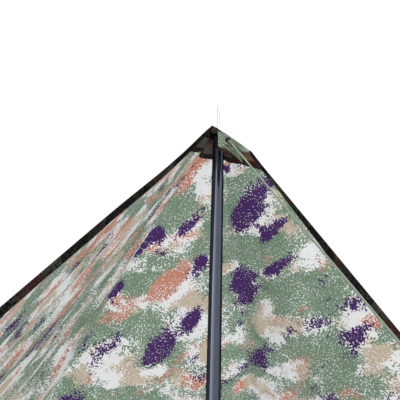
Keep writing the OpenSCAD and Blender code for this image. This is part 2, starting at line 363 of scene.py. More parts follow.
def stitched(tree, paint, thread):
    """A row of stitches where the seam attribute's Y is 0, with X running along the row."""
    seam = axes_of(tree, attribute(tree, "seam"))
    on = above(tree, maths(tree, "FRACT", maths(tree, "DIVIDE", seam[0], STITCH_PITCH)), 0.35, 0.05)
    away = above(tree, maths(tree, "ABSOLUTE", seam[1]), STITCH_WIDTH, 0.0001)
    dash = product(tree, on, less(tree, 1.0, away))
    return mixed(tree, dash, paint, thread), dash


def weave(tree):
    """The over and under of fine yarn, as bump."""
    axes = axes_of(tree, attribute(tree, "cloth"))
    yarn = product(tree, ripple(tree, axes[0], YARN_PITCH), ripple(tree, axes[1], YARN_PITCH))
    return bump(tree, yarn, YARN_HEIGHT, 0.6)


def cloth_material(name, colours, thread, share=0.0, roughness=0.62, shine=0.25, sheen=0.08, through=None):
    """Printed, stitched cloth. A share of the light comes through, in the print's colour or a given one."""
    material, tree = new_material(name)
    paint, dash = stitched(tree, camouflage(tree, colours), thread)
    normal = bump(tree, dash, STITCH_HEIGHT, 0.8, weave(tree))
    face = principled(tree, {
        "Base Color": paint, "Roughness": roughness, "Normal": normal,
        "Specular IOR Level": shine, "Sheen Weight": sheen, "Sheen Roughness": 0.5})
    if share > 0:
        tint = paint if through is None else through
        light = node(tree, "BsdfTranslucent", {"Color": tint, "Normal": normal}).outputs[0]
        face = node(tree, "MixShader", {0: share, 1: face, 2: light}).outputs[0]
    return finished(material, face)


def painted_tube_material():
    """Dark slate lacquer over steel, with fine orange peel and a few rubbed lines."""
    material, tree = new_material("pole_lacquer")
    place = object_place(tree)
    drawn = noise(tree, stretched(tree, place, stretch=(1, 1, 50)), 900, 2)
    cloud = product(tree, noise(tree, place, 30, 2), 0.5)
    return finished(material, principled(tree, {
        "Base Color": mixed(tree, cloud, (0.078, 0.087, 0.115), (0.064, 0.072, 0.096)),
        "Metallic": 0.95, "Roughness": ramp(tree, drawn, low=0.03, high=0.07),
        "Specular Tint": (0.05, 0.05, 0.06, 1),
        "Normal": bump(tree, noise(tree, place, 1500, 1), 0.00002, 0.3)}))


def plastic_material(name, colour, roughness, grain=2500, depth=0.00003):
    """Moulded plastic or rubber, faintly cloudy and grained."""
    material, tree = new_material(name)
    place = object_place(tree)
    cloud = noise(tree, place, 60, 3)
    return finished(material, principled(tree, {
        "Base Color": mixed(tree, cloud, colour, times(colour, 1.5)), "Specular IOR Level": 0.05,
        "Roughness": ramp(tree, cloud, low=roughness - 0.06, high=roughness + 0.08),
        "Normal": bump(tree, noise(tree, place, grain, 2), depth, 0.5)}))


def steel_material(name, colour, roughness):
    """Drawn metal, with fine lines along Z."""
    material, tree = new_material(name)
    place = object_place(tree)
    drawn = noise(tree, stretched(tree, place, stretch=(1, 1, 20)), 1200, 2)
    return finished(material, principled(tree, {
        "Base Color": mixed(tree, noise(tree, place, 90, 3), colour, times(colour, 0.72)),
        "Metallic": 1.0, "Roughness": ramp(tree, drawn, low=roughness - 0.1, high=roughness + 0.12),
        "Normal": bump(tree, drawn, 0.00002, 0.4)}))


def woven_material(name, colour, pitch=0.0016):
    """Coarse woven yarn, for webbing and cord, darker in the hollows of the weave as painted shade."""
    material, tree = new_material(name)
    place = object_place(tree)
    ribs = [ripple(tree, axis, pitch) for axis in axes_of(tree, place)]
    height = total(tree, product(tree, ribs[0], ribs[1]), ribs[2])
    # Painted shade: the yarn is darker where the weave lies low
    paint = mixed(tree, ramp(tree, height, -2, 2), times(colour, 0.55), colour)
    worn = product(tree, noise(tree, place, 120, 3), 0.35)
    return finished(material, principled(tree, {
        "Base Color": mixed(tree, worn, paint, times(colour, 1.5)), "Roughness": 0.75,
        "Sheen Weight": 0.2, "Normal": bump(tree, height, 0.00015, 0.7)}))


# ---- the canopy's shape
wall_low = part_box("canopy_left")[0]
back_low, back_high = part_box("canopy_back")
LEFT_FRONT_FOOT = np.array((wall_low.x, wall_low.y, 0))
LEFT_BACK_FOOT = np.array((back_low.x, back_high.y, 0))
MIRROR = np.array((-1, 1, 1))
FEET = np.array([LEFT_FRONT_FOOT, LEFT_BACK_FOOT, LEFT_BACK_FOOT * MIRROR, LEFT_FRONT_FOOT * MIRROR])
GROMMET_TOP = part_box("peak_grommet")[1].z
GROMMET_DEPTH = 0.024
PEAK_Z = GROMMET_TOP + GROMMET_DEPTH
# Where the four edges and ridges of the cloth begin, round the pin
TOPS = np.array([(-0.0155, 0, PEAK_Z), (-0.006, 0.006, PEAK_Z - 0.001), (0.006, 0.006, PEAK_Z - 0.010),
                 (0.012, -0.004, PEAK_Z - 0.015)])
# The right front edge bulges before it runs straight, because the guyline pulls the peak forwards
SHOULDER = np.array([(0.068, -0.026, PEAK_Z - 0.068), (0.088, -0.035, PEAK_Z - 0.105)])
SHOULDER_SHARES = (PEAK_Z - SHOULDER[:, 2]) / PEAK_Z
RIDGE_ROUND = 0.03
# The left front edge is cut a little hollow, most of all near the peak
HOLLOW = 0.003
HOLLOW_TOP = 0.006
SAG = 0.016
CLOTH = 0.0005
HEM_WIDTH = 0.020
STITCH_LINE = 0.85
DOWN_EDGES = [unit(foot - (0, 0, PEAK_Z)) for foot in FEET]
# A side wall's width at its foot, square to the front edge
WALL_FOOT = FEET[1] - FEET[0]
WALL_SQUARE = np.linalg.norm(WALL_FOOT - DOWN_EDGES[0] * (WALL_FOOT @ DOWN_EDGES[0]))


def edge_line(k, s):
    """Where edge or ridge k of the fan is at share s of the slope."""
    if k < 3:
        line = TOPS[k] + s[..., None] * (FEET[k] - TOPS[k])
        if k == 0:
            dip = (1 - s) * smooth_step(s / 0.06) * (HOLLOW + HOLLOW_TOP * np.exp(-((s - 0.10) / 0.06) ** 2))
            line = line - dip[..., None] * (0, 0, 1)
        return line
    knots = np.concatenate([[0], SHOULDER_SHARES, [1]])
    stops = np.concatenate([TOPS[3:4], SHOULDER, FEET[3:4]])
    return point_between(s, knots, stops)


def fan(u, s):
    """The canopy before it sags: u runs 0 to 3 across the walls, and s from the peak down to the hem."""
    edges = [edge_line(k, s) for k in range(4)]

    def straight(at):
        at = np.clip(at, 0, 3)
        wall = np.minimum(at.astype(int), 2)
        share = (at - wall)[..., None]
        start = np.choose(wall[..., None], edges[:3])
        end = np.choose(wall[..., None], edges[1:])
        return start + share * (end - start)

    points = straight(u)
    for k in (1, 2):
        near = np.abs(u - k) < RIDGE_ROUND
        t = np.clip((u - k + RIDGE_ROUND) / (2 * RIDGE_ROUND), 0, 1)[..., None]
        before, after = straight(np.full_like(u, k - RIDGE_ROUND)), straight(np.full_like(u, k + RIDGE_ROUND))
        bent = (1 - t) ** 2 * before + 2 * t * (1 - t) * edges[k] + t ** 2 * after
        points = np.where(near[..., None], bent, points)
    return points


def fold_set(seed, count, low, high, size, narrow):
    """Tension folds that fan out from the peak: place across, height, width, and where each fades."""
    pick = np.random.default_rng(seed)
    places = np.linspace(low, high, count) + pick.uniform(-0.3, 0.3, count) * (high - low) / count
    return [(p, size * pick.uniform(0.5, 1.0) * pick.choice((-1, 1)), narrow * pick.uniform(0.7, 1.5),
             pick.uniform(0.02, 0.10), pick.uniform(0.35, 0.9), pick.uniform(0, 6)) for p in places]


FOLDS = (fold_set(3, 17, 0.04, 0.80, 0.0050, 0.016) + fold_set(4, 5, 1.1, 1.9, 0.0018, 0.03)
         + fold_set(5, 9, 2.15, 2.93, 0.0030, 0.02))
WAVES = [(w.uniform(3, 14), w.uniform(3, 14), w.uniform(0, 6.3), w.uniform(0.0006, 0.0016))
         for w in [np.random.default_rng(k) for k in range(8)]]
PLEATS = 13
PLEAT_HEIGHT = 0.0022
PLEATS_FROM, PLEATS_FADE = 0.012, 0.06
# The front hems hold the cloth flat so far in from the edge, and the folds come in over so much more
HELD_FLAT = 0.019
HELD_FADE = 0.035


def relief(u, s):
    """How far the cloth stands out from the fan: sag, tension folds, slow waves, pleats at the peak."""
    across = u - np.minimum(u.astype(int), 2)
    height = -SAG * 4 * across * (1 - across) * np.sin(math.pi * np.clip(s, 0, 1) ** 0.8)
    for place, size, narrow, start, end, phase in FOLDS:
        drift = place + 0.012 * np.sin(5 * s + phase)
        rise = smooth_step((s - start) / 0.12) * smooth_step((end - s) / 0.25)
        height += size * rise * np.exp(-((u - drift) / narrow) ** 2)
    held = smooth_step(across / 0.06) * smooth_step((1 - across) / 0.06) * smooth_step(s / 0.08)
    for a, b, phase, size in WAVES:
        height += size * held * np.sin(a * u * (0.4 + s) + b * s + phase)
    height *= smooth_step((np.minimum(u, 3 - u) * WALL_SQUARE * s - HELD_FLAT) / HELD_FADE)
    gathered = smooth_step(s / PLEATS_FROM) * np.exp(-(s / PLEATS_FADE) ** 2)
    height += PLEAT_HEIGHT * gathered * np.sin(2 * math.pi * PLEATS * u / 3)
    return height


def outward(u, s):
    """The cloth's outward direction, from the unfolded fan."""
    step = 1e-3
    across = fan(u + step, s) - fan(u - step, s)
    down = fan(u, s + step) - fan(u, s - step)
    return units(np.cross(across, down))


def cloth_at(u, s, depth=0.0):
    """A point of the canopy, so deep under the middle of the cloth."""
    u, s = paired(u, s)
    return fan(u, s) + (relief(u, s) - depth)[..., None] * outward(u, s)


SLOPES = np.linalg.norm(FEET - (0, 0, PEAK_Z), axis=1)
WALL_ANGLES = [math.acos(DOWN_EDGES[k] @ DOWN_EDGES[k + 1]) for k in range(3)]
FLAT_TURNS = np.concatenate([[0], np.cumsum(WALL_ANGLES)]) - sum(WALL_ANGLES) / 2 - math.pi / 2
FLAT_FEET = SLOPES[:, None] * np.stack([np.cos(FLAT_TURNS), np.sin(FLAT_TURNS)], -1)


def flat_at(u, s):
    """The same point on the cloth as it was cut, with the peak at 0 and the hem below it."""
    u, s = paired(u, s)
    wall = np.clip(u.astype(int), 0, 2)
    share = (u - wall)[..., None]
    place = s[..., None] * (FLAT_FEET[wall] + share * (FLAT_FEET[wall + 1] - FLAT_FEET[wall]))
    return np.concatenate([place, np.zeros_like(place[..., :1])], -1)


# The print's turn at the left front edge, in radians, and where across the left wall it ends
GATHER = 1.15
GATHER_END = 0.72


def print_at(u, s):
    """Where a point lies in the print: the cloth is gathered towards the left front edge."""
    u, s = paired(u, s)
    place = flat_at(u, s)
    turn = -GATHER * np.clip(1 - u / GATHER_END, 0, 1) ** 2
    x = place[..., 0] * np.cos(turn) - place[..., 1] * np.sin(turn)
    y = place[..., 0] * np.sin(turn) + place[..., 1] * np.cos(turn)
    return np.stack([x, y, place[..., 2]], -1)


def hem_share(s, width=HEM_WIDTH):
    """How much of a side wall's u the front hem takes at share s of the slope."""
    return np.minimum(width / (WALL_SQUARE * np.maximum(s, 1e-3) + 0.004), 0.75)


# ---- materials
THREAD = (0.10, 0.10, 0.08)
DARK_THREAD = (0.03, 0.03, 0.03)
# The outer side is a dark print, but the light that goes through it keeps no colour
canopy_outside = cloth_material("canopy_outside", OUTSIDE_PRINT, DARK_THREAD, 0.52, 0.6, 0.3, 0.1, WHITE)
canopy_inside = cloth_material("canopy_inside", INSIDE_PRINT, THREAD, 0.72)
# The hem cloth's darkness is painted shade, from its darkened print
hem_material = cloth_material("hem_cloth", HEM_PRINT_IN_PAINTED_SHADE, DARK_THREAD, 0, 0.8, 0.08, 0.0)
patch_material = cloth_material("patch_cloth", PATCH_PRINT, DARK_THREAD, 0, 0.75, 0.10, 0.0)
tab_material = cloth_material("tab_cloth", TAB_PRINT, THREAD, 0.2)
lacquer = painted_tube_material()
black_plastic = plastic_material("black_plastic", (0.003, 0.003, 0.0035), 0.5)
lever_plastic = plastic_material("lever_plastic", (0.012, 0.012, 0.014), 0.38)
rubber = plastic_material("foot_rubber", (0.014, 0.014, 0.014), 0.8, 1200, 0.00008)
pale_steel = steel_material("tip_steel", (0.96, 0.96, 0.98), 0.5)
peg_steel = steel_material("peg_steel", (0.62, 0.62, 0.62), 0.34)
black_metal = steel_material("black_metal", (0.03, 0.03, 0.032), 0.35)
webbing_material = woven_material("webbing", (0.075, 0.085, 0.055))
line_material = woven_material("line_cord", (0.20, 0.255, 0.20), 0.0013)
knot_material = woven_material("knot_cord", (0.22, 0.19, 0.12), 0.0013)
eyelet_metal = steel_material("eyelet_metal", (0.02, 0.02, 0.02), 0.4)

FINISHES = [
    (lacquer, ["pole_upper", "pole_lower"]), (lever_plastic, ["clamp_lever"]), (rubber, ["pole_foot"]),
    (black_plastic, ["pole_top_plug", "pole_guide_plug", "clamp_collar"]), (pale_steel, ["tip_pin"]),
    (peg_steel, ["clamp_screw", "clamp_pin", *(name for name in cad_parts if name.startswith("peg_"))]),
    (black_metal, ["peak_grommet"])]
for finish, cad_nodes in FINISHES:
    for cad_node in cad_nodes:
        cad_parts[cad_node].data.materials.clear()
        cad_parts[cad_node].data.materials.append(finish)


def sinks(piece, body="tent"):
    """Cloth and cord that hang from the peak come down with it."""
    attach(piece, body)
    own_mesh(piece)
    return piece


# ---- guyline
LINE_ROUTE = [
    (0.014, -0.035, 1.438), (0.093, -0.200, 1.144), (0.1875, -0.399, 0.791),
    (0.396, -0.836, 0.014), (0.3975, -0.837, 0.011), (0.4005, -0.8375, 0.009), (0.4035, -0.836, 0.0085),
    (0.4065, -0.8345, 0.009), (0.408, -0.832, 0.011), (0.408, -0.830, 0.014), (0.317, -0.639, 0.3535)]
LINE_DIAMETER = 0.0035
LINE_STEP = 0.0025


def add_guyline():
    path = resampled(LINE_ROUTE, LINE_STEP)
    points, faces = loft(tube(path, LINE_DIAMETER / 2))
    line = new_piece("guyline_cord", points, faces, [line_material])
    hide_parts("guyline")
    return line, path


guyline, guyline_path = add_guyline()


# ---- canopy
CANOPY_COLUMNS = 66
CANOPY_ROWS = 130
FIRST_ROW, ROW_SPREAD = 0.035, 1.5


def canopy_columns():
    """Places across the fan, closer together at the ridges."""
    wall = np.linspace(0, 1, CANOPY_COLUMNS + 1)
    wall = wall - 0.06 * np.sin(2 * math.pi * wall)
    return np.concatenate([wall[:-1], 1 + wall[:-1], 2 + wall])


# The larger patches of the print: pull, place on the flat cloth, half length, half width, turn
PATCHES = {
    "dark": [(0.42, 0.108, -0.156, 0.067, 0.037, 66), (0.24, 0.163, -0.188, 0.021, 0.01, -15),
        (0.19, 0.197, -0.163, 0.036, 0.013, 55), (0.31, -0.02, -0.22, 0.05, 0.016, 59),
        (0.34, -0.08, -0.262, 0.024, 0.018, 30), (0.3, -0.11, -0.295, 0.045, 0.011, 56),
        (0.34, 0.034, -0.078, 0.01, 0.007, 30), (0.3, 0.146, -0.088, 0.014, 0.006, 20),
        (0.34, 0.02, -0.3, 0.018, 0.014, 50), (0.34, 0.03, -0.44, 0.035, 0.022, 60),
        (0.34, -0.15, -0.4, 0.03, 0.013, 50), (0.42, 0.143, -0.335, 0.056, 0.036, 98),
        (0.21, 0.22, -0.246, 0.068, 0.011, 44), (0.3, 0.39, -0.25, 0.04, 0.02, 30),
        (0.34, -0.03, -0.52, 0.05, 0.03, 60), (0.3, -0.426, -0.024, 0.07, 0.008, 0),
        (-0.25, -0.016, -0.078, 0.022, 0.016, 0)],
    "green": [(-0.05, -0.33, -0.06, 0.24, 0.2, 0), (0.2, 0.09, -0.1, 0.05, 0.026, 40),
        (-0.2, 0.06, -0.076, 0.024, 0.014, 40), (-0.22, 0.17, -0.116, 0.032, 0.026, 50),
        (-0.13, -0.008, -0.115, 0.04, 0.02, 90), (0.2, 0.2, -0.22, 0.06, 0.03, 50),
        (0.2, 0.3, -0.28, 0.09, 0.05, 50), (0.22, -0.05, -0.22, 0.05, 0.03, 40),
        (0.22, 0.12, -0.25, 0.05, 0.035, 80)],
    "rust": [(0.33, -0.038, -0.12, 0.058, 0.015, 65), (0.33, -0.185, -0.09, 0.065, 0.011, -23),
        (0.3, -0.111, -0.18, 0.05, 0.011, 35), (0.3, -0.035, -0.355, 0.055, 0.026, 50),
        (0.34, -0.43, -0.207, 0.07, 0.018, 30), (0.3, -0.382, 0.086, 0.08, 0.012, 0),
        (0.06, -0.33, -0.06, 0.24, 0.2, 0), (-0.12, 0.25, -0.32, 0.15, 0.14, 0),
        (-0.3, 0.168, -0.118, 0.04, 0.03, 50), (0.24, 0.029, -0.065, 0.01, 0.006, 30)],
}
# Near the peak, dark patches come only where PATCHES has them
DARK_KEPT_OFF, KEPT_OFF_REACH = 0.06, 0.55
SOFT_RIM = 1.4


def ink_lean(flat):
    """How far each ink is favoured at each place on the cloth."""
    lean = np.zeros((len(flat), 3))
    lean[:, 0] = -DARK_KEPT_OFF * np.exp(-(np.linalg.norm(flat, axis=1) / KEPT_OFF_REACH) ** 4)
    for k, patches in enumerate(PATCHES.values()):
        for pull, x, y, long, wide, turn in patches:
            c, n = math.cos(math.radians(turn)), math.sin(math.radians(turn))
            dx, dy = flat[:, 0] - x, flat[:, 1] - y
            far = ((dx * c + dy * n) / long) ** 2 + ((dy * c - dx * n) / wide) ** 2
            lean[:, k] += pull * np.exp(-far ** SOFT_RIM)
    return lean


def edge_seam(u, s):
    """Along and across the stitches that hold the front hems."""
    slope = SLOPES[0] * s
    across = np.where(u < 1.5, u, 3 - u) * WALL_SQUARE * s - STITCH_LINE * HEM_WIDTH
    return np.stack([slope, across, np.zeros_like(s)], -1).reshape(-1, 3)


def add_canopy():
    u = canopy_columns()
    s = np.linspace(FIRST_ROW, 1, CANOPY_ROWS) ** ROW_SPREAD
    s[0] = 0
    uu, ss = np.meshgrid(u, s)
    outer, inner = cloth_at(uu, ss, -CLOTH / 2), cloth_at(uu, ss, CLOTH / 2)
    flat, seam = print_at(uu, ss).reshape(-1, 3), edge_seam(uu, ss)
    lean = ink_lean(flat)
    points, faces = shell(outer, inner)
    outside = (len(u) - 1) * (len(s) - 1)
    slots = [0] * outside + [1] * (len(faces) - outside)
    sheet = new_piece("canopy_sheet", points, faces, [canopy_outside, canopy_inside], slots, 50,
                      {"cloth": np.tile(flat, (2, 1)), "lean": np.tile(lean, (2, 1)),
                       "seam": np.tile(seam, (2, 1))})
    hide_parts("canopy_left", "canopy_back", "canopy_right")
    return sinks(sheet)


canopy = add_canopy()


# ---- hems
HEM_GAP = 0.0004
HEM_THICK = 0.0013
BOTTOM_HEM_SHARE = HEM_WIDTH / 1.75
# Across, and depth under the cloth: the inner side, round the edge, and a little way over the outer side
HEM_PROFILE = [(x, HEM_GAP + HEM_THICK * d) for x, d in (
    (1.0, 0), (1.01, 0.5), (0.97, 1), (0.5, 1), (0.1, 1.15), (0.0, 1), (-0.05, 0.5))]
HEM_PROFILE += [(-0.06, 0.0), (-0.04, -HEM_GAP * 1.6), (0.0, -HEM_GAP * 2), (0.04, -HEM_GAP * 1.6),
                (0.04, 0.0003)]
BOTTOM_PROFILE = [(x, HEM_GAP + HEM_THICK * d) for x, d in (
    (1.0, 0), (1.0, 0.7), (0.9, 1), (0.1, 1), (0.0, 0.8), (0.0, 0))]
# Which way the left hem hangs where it has turned down
HANG = np.array((0.78, 0.22, -0.58))


def edge_strip(name, side, s, width, turned, material, lean):
    """A folded strip along a front edge: width and turned are its width and how far it hangs, at each s."""
    at_edge = 0.0 if side < 0 else 3.0
    edge = cloth_at(at_edge, s)
    down = units(np.gradient(edge, axis=0))
    inner = fan(np.full_like(s, at_edge - side * 0.02), s + 0.004) - fan(np.full_like(s, at_edge), s + 0.004)
    inner = units(inner - down * np.sum(inner * down, axis=1)[:, None])
    hang = HANG if side < 0 else HANG * MIRROR
    across = inner * (1 - turned)[:, None] + hang * turned[:, None]
    across = units(across - down * np.sum(across * down, axis=1)[:, None])
    inward = np.cross(across, down) * side
    inward *= -np.sign(inward[len(s) // 2, 2])
    loops = np.stack([edge + across * (x * width)[:, None] + inward * d for x, d in HEM_PROFILE], 1)
    run = SLOPES[0] * s
    zero = np.zeros_like(s)
    flat = np.stack([np.stack([run + 0.31, x * width + 0.2, zero], -1) for x, _ in HEM_PROFILE], 1)
    seam = np.stack([np.stack([run, (x - STITCH_LINE) * width, zero], -1) for x, _ in HEM_PROFILE], 1)
    points, faces = loft(loops)
    strip = new_piece(name, points, faces, [material], None, 60, {
        "cloth": flat.reshape(-1, 3), "lean": np.tile(lean, (len(points), 1)), "seam": seam.reshape(-1, 3)})
    return sinks(strip)


def add_front_hem(name, cad_node, side, s, widths, turned, lean):
    """widths: places down the edge, and the hem's width there as shares of its full width."""
    width = HEM_WIDTH * np.interp(s, *widths)
    hem = edge_strip(name, side, s, width, turned(s), hem_material, lean)
    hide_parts(cad_node)
    return hem


front_hems = [
    add_front_hem("front_hem_left", "hem_front_left", -1, np.linspace(0.03, 1, 170) ** 2,
                  ((0, 0.07, 0.17, 0.3, 1), (0.42, 0.55, 0.74, 0.68, 1.0)),
                  lambda s: 0.36 + 0.05 * np.sin(60 * s) + 0.03 * np.sin(147 * s + 1), (0.12, 0, 0.03)),
    add_front_hem("front_hem_right", "hem_front_right", 1, np.linspace(0.19, 1, 160) ** 2,
                  ((0, 0.11, 0.2, 0.3, 1), (0.36, 0.38, 0.78, 0.72, 1.0)),
                  lambda s: 0.03 * np.sin(70 * s), (0.08, 0, 0.04))]


def add_bottom_hem(name, wall, cad_node):
    """A fold along the ground, which stops short where it meets a front hem."""
    at_front = hem_share(np.array([1.0]))[0]
    start = at_front if wall == 0 else wall
    end = 3 - at_front if wall == 2 else wall + 1
    u = np.linspace(start, end, 90)
    loops = np.stack([cloth_at(u, 1 - a * BOTTOM_HEM_SHARE, d) for a, d in BOTTOM_PROFILE], 1)
    flat = np.stack([flat_at(u, 1 - a * BOTTOM_HEM_SHARE) + (0.5, 0.3, 0) for a, _ in BOTTOM_PROFILE], 1)
    points, faces = loft(loops[:, ::-1])
    hem = new_piece(name, points, faces, [hem_material], None, 60,
                    {"cloth": flat[:, ::-1].reshape(-1, 3), "lean": np.zeros((len(points), 3))})
    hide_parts(cad_node)
    return sinks(hem)


bottom_hems = [add_bottom_hem("bottom_hem_" + side, wall, "hem_bottom_" + side)
               for wall, side in enumerate(("left", "back", "right"))]

# ---- peak patch
PATCH_TOP = 0.006
# How far down the slope the patch reaches, across the fan
PATCH_REACH = [(0, 0.058), (0.85, 0.034), (1.1, 0.040), (2.05, 0.033), (2.6, 0.052), (3, 0.078)]
# The cloth and the band along its lower edge: where each starts down the patch, and its thickness
PATCH_LAYERS = [(0.0, 0.0009), (0.80, 0.0012)]
PATCH_GAP, LAYER_GAP = 0.0006, 0.0001
# How far in from each front edge it stops, as shares of a margin this wide
PATCH_MARGIN = 0.008
LEFT_INSET, RIGHT_INSET = 0.80, 0.62


def add_patch():
    """The reinforcement under the peak: cloth, and a folded band along its lower edge."""
    share = np.linspace(0, 1, 150)
    t = np.linspace(0, 1, 31)
    tt, vv = np.meshgrid(t, share, indexing="ij")
    margin = hem_share(PATCH_TOP + tt * 0.06, PATCH_MARGIN)
    uu = margin * LEFT_INSET + vv * (3 - (LEFT_INSET + RIGHT_INSET) * margin)
    ss = PATCH_TOP + tt * (np.interp(uu, *zip(*PATCH_REACH)) - PATCH_TOP)
    lean = np.zeros((*uu.shape, 3))
    # Dark ink that grows towards the patch's top: painted shade under the peak
    lean[..., 0] = 0.34 * smooth_step(1.25 - 2.0 * tt) - 0.06
    lean[..., 2] = 0.14
    flat = flat_at(uu, ss) + (0.9, 0.75, 0)
    seam = np.stack([uu * 0.05, (tt - 0.93) * 0.07, np.zeros_like(uu)], -1)
    depth = PATCH_GAP
    parts, marks = [], []
    for top, thick in PATCH_LAYERS:
        rows = t >= top - 1e-6
        parts.append(shell(*(cloth_at(uu[rows], ss[rows], d) for d in (depth, depth + thick))))
        marks.append([np.tile(m[rows].reshape(-1, 3), (2, 1)) for m in (flat, lean, seam)])
        depth += thick + LAYER_GAP
    points, faces = joined(parts)
    flat, lean, seam = [np.concatenate([m[k] for m in marks]) for k in range(3)]
    slots = [0] * len(parts[0][1]) + [1] * len(parts[1][1])
    patch = new_piece("peak_reinforcement", points, faces, [patch_material, hem_material], slots, 50,
                      {"cloth": flat, "lean": lean, "seam": seam})
    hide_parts("peak_patch")
    return sinks(patch)


patch = add_patch()


# ---- the top of the peak
def surface(grid, thick, wanted=(0, -1, 0.4)):
    """A sheet of cloth through a grid of points, so thick, with its front towards the wanted side."""
    along, across = np.gradient(grid, axis=0), np.gradient(grid, axis=1)
    normal = np.cross(along, across)
    normal /= np.maximum(np.linalg.norm(normal, axis=-1), 1e-9)[..., None]
    normal *= np.sign(np.sum(normal * wanted, axis=-1).mean())
    return shell(grid + normal * thick / 2, grid - normal * thick / 2)


def curve(points, count):
    """A smooth line through a few points."""
    points = np.asarray(points, float)
    padded = np.concatenate([2 * points[:1] - points[1:2], points, 2 * points[-1:] - points[-2:-1]])
    x = np.linspace(0, len(points) - 1, count)
    k = np.minimum(x.astype(int), len(points) - 2)
    t = (x - k)[:, None]
    a, b, c, d = (padded[k + i] for i in range(4))
    return 0.5 * (2 * b + (c - a) * t + (2 * a - 5 * b + 4 * c - d) * t ** 2
                  + (3 * b - a - 3 * c + d) * t ** 3)


def plain_marks(points, lean):
    """Cloth coordinates for a small piece that isn't cut from the canopy."""
    return {"cloth": np.asarray(points)[:, [0, 2, 1]] * (1, 1, 0.6) + (0.4, 0.1, 0),
            "lean": np.tile(lean, (len(points), 1))}


HOOD_THICK, ROOF_THICK = 0.0014, 0.001
PIN_HOLE, ROOF_EDGE, ROOF_RISE = 0.0056, 0.0115, 0.006
ROOF_GAP = 0.0012


def add_peak_hood():
    """The hem's end, which crosses in front of the pole's cap, and the cloth that lies round the pin."""
    high = curve([(-0.0165, 0.0005, 0.0012), (-0.0150, -0.0075, -0.0075), (-0.009, -0.0130, -0.0150),
                  (0.001, -0.0160, -0.0235), (0.012, -0.0135, -0.0275)], 22) + (0, 0, PEAK_Z)
    low = curve([(-0.0180, -0.0005, -0.019), (-0.0160, -0.0090, -0.026), (-0.009, -0.0150, -0.034),
                 (0.001, -0.0168, -0.041), (0.012, -0.0145, -0.043)], 22) + (0, 0, PEAK_Z)
    share = np.linspace(0, 1, 8)[:, None, None]
    front = surface(high + share * (low - high), HOOD_THICK)
    turns = np.linspace(0, 2 * math.pi, 41)
    radii = np.linspace(PIN_HOLE, ROOF_EDGE, 6)[:, None]
    rise = (radii - PIN_HOLE) / (ROOF_EDGE - PIN_HOLE) * ROOF_RISE * np.clip(0.2 - np.cos(turns), 0, None)
    roof = np.stack([radii * np.cos(turns), radii * np.sin(turns), GROMMET_TOP + ROOF_GAP + rise], -1)
    points, faces = joined([front, surface(roof, ROOF_THICK, (0, 0, 1))])
    # The dark lean in its marks is painted shade: the hood sits in the shadow at the peak
    hood = new_piece("peak_hood", points, faces, [hem_material], None, 50, plain_marks(points, (0.14, 0, 0)))
    return sinks(hood)


CREST_WIDTH = 0.0125
CREST_TOP, CREST_END = 0.002, 0.043


def add_crest_fold():
    """Cloth folded over the right front edge, between the peak and the shoulder; its light ink is a painted
    highlight.
    """
    s = np.linspace(CREST_TOP, CREST_END, 40)
    narrower = 0.35 + 0.65 * smooth_step((CREST_END + 0.004 - s) / 0.014)
    width = CREST_WIDTH * smooth_step(s / 0.008) * narrower
    # The pale lean is a painted highlight on the lit crest of the fold
    fold = edge_strip("crest_fold", 1, s, width, np.full_like(s, 0.30), tab_material, (-0.10, -0.12, -0.1))
    return fold


# The tab's upper and lower edges, from its left end to the tip in line with the guyline
TAB_HIGH = [(-0.0072, -0.0165, 1.4745), (0.0040, -0.0235, 1.4640), (0.0150, -0.0290, 1.4520),
            (0.0265, -0.0360, 1.4280), (0.0415, -0.0365, 1.3910)]
TAB_LOW = [(-0.0070, -0.0205, 1.4225), (0.0010, -0.0265, 1.4150), (0.0110, -0.0310, 1.4065),
           (0.0240, -0.0350, 1.3975), (0.0412, -0.0362, 1.3895)]
TAB_FRONT = np.array((-0.35, -0.85, -0.35))
TAB_THICK = 0.0011
TAB_STEPS, TAB_ROWS = 46, 61
TAB_PLEATS = 4.5
TAB_PLEAT_HEIGHT, TAB_CROWN = 0.0019, 0.0045
# The lower part of the tab, in dark hem cloth as painted shade along its lower edge
TAB_PAINTED_SHADOW_FROM = 0.84


def tab_pleats(t, v):
    """The pleats' wave across the tab, and how far they have opened along it."""
    return np.sin(2 * math.pi * TAB_PLEATS * v + 0.6), smooth_step((t - 0.12) / 0.3)


def tab_point(t, v):
    """A point of the folded tab: t runs to its tip, and v from its upper to its lower edge."""
    steps = np.linspace(0, 1, 61)
    high, low = curve(TAB_HIGH, len(steps)), curve(TAB_LOW, len(steps))
    a, b = point_between(t, steps, high), point_between(t, steps, low)
    wave, opened = tab_pleats(t, v)
    pleats = TAB_PLEAT_HEIGHT * opened * smooth_step((1.02 - t) / 0.25)
    crown = TAB_CROWN * np.sin(math.pi * v) * np.sin(math.pi * np.clip(t + 0.12, 0, 1))
    return a + v[..., None] * (b - a) + (crown + pleats * wave)[..., None] * TAB_FRONT


def add_tab():
    """The folded tab, with painted shade: darker ink in the grooves of its pleats."""
    tt, vv = np.meshgrid(np.linspace(0, 1, TAB_STEPS), np.linspace(0, 1, TAB_ROWS), indexing="ij")
    points, faces = surface(tab_point(tt, vv), TAB_THICK)
    strips = TAB_ROWS - 1
    slots = [int(k % strips > TAB_PAINTED_SHADOW_FROM * strips) for k in range(2 * (TAB_STEPS - 1) * strips)]
    slots += [0] * (len(faces) - len(slots))
    marks = plain_marks(points, (-0.05, 0.0, -0.05))
    wave, opened = tab_pleats(tt, vv)
    # Painted shade: the dark ink lean follows the grooves of the pleats
    marks["lean"][:, 0] += np.tile(0.45 * (np.clip(-wave, 0, 1) * opened).ravel(), 2)
    tab = new_piece("peak_tab_cloth", points, faces, [tab_material, hem_material], slots, 60, marks)
    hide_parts("peak_tab")
    return sinks(tab)


EYELET_AT = (0.45, 0.22)
EYELET_RADIUS = 0.0046
WIRE_RADIUS, WIRE_RISE = 0.0016, 0.0011
RING_STEPS, WIRE_STEPS = 32, 12
HOLE_SHADE_PLATE_DEPTHS = (-0.0002, -0.0010)


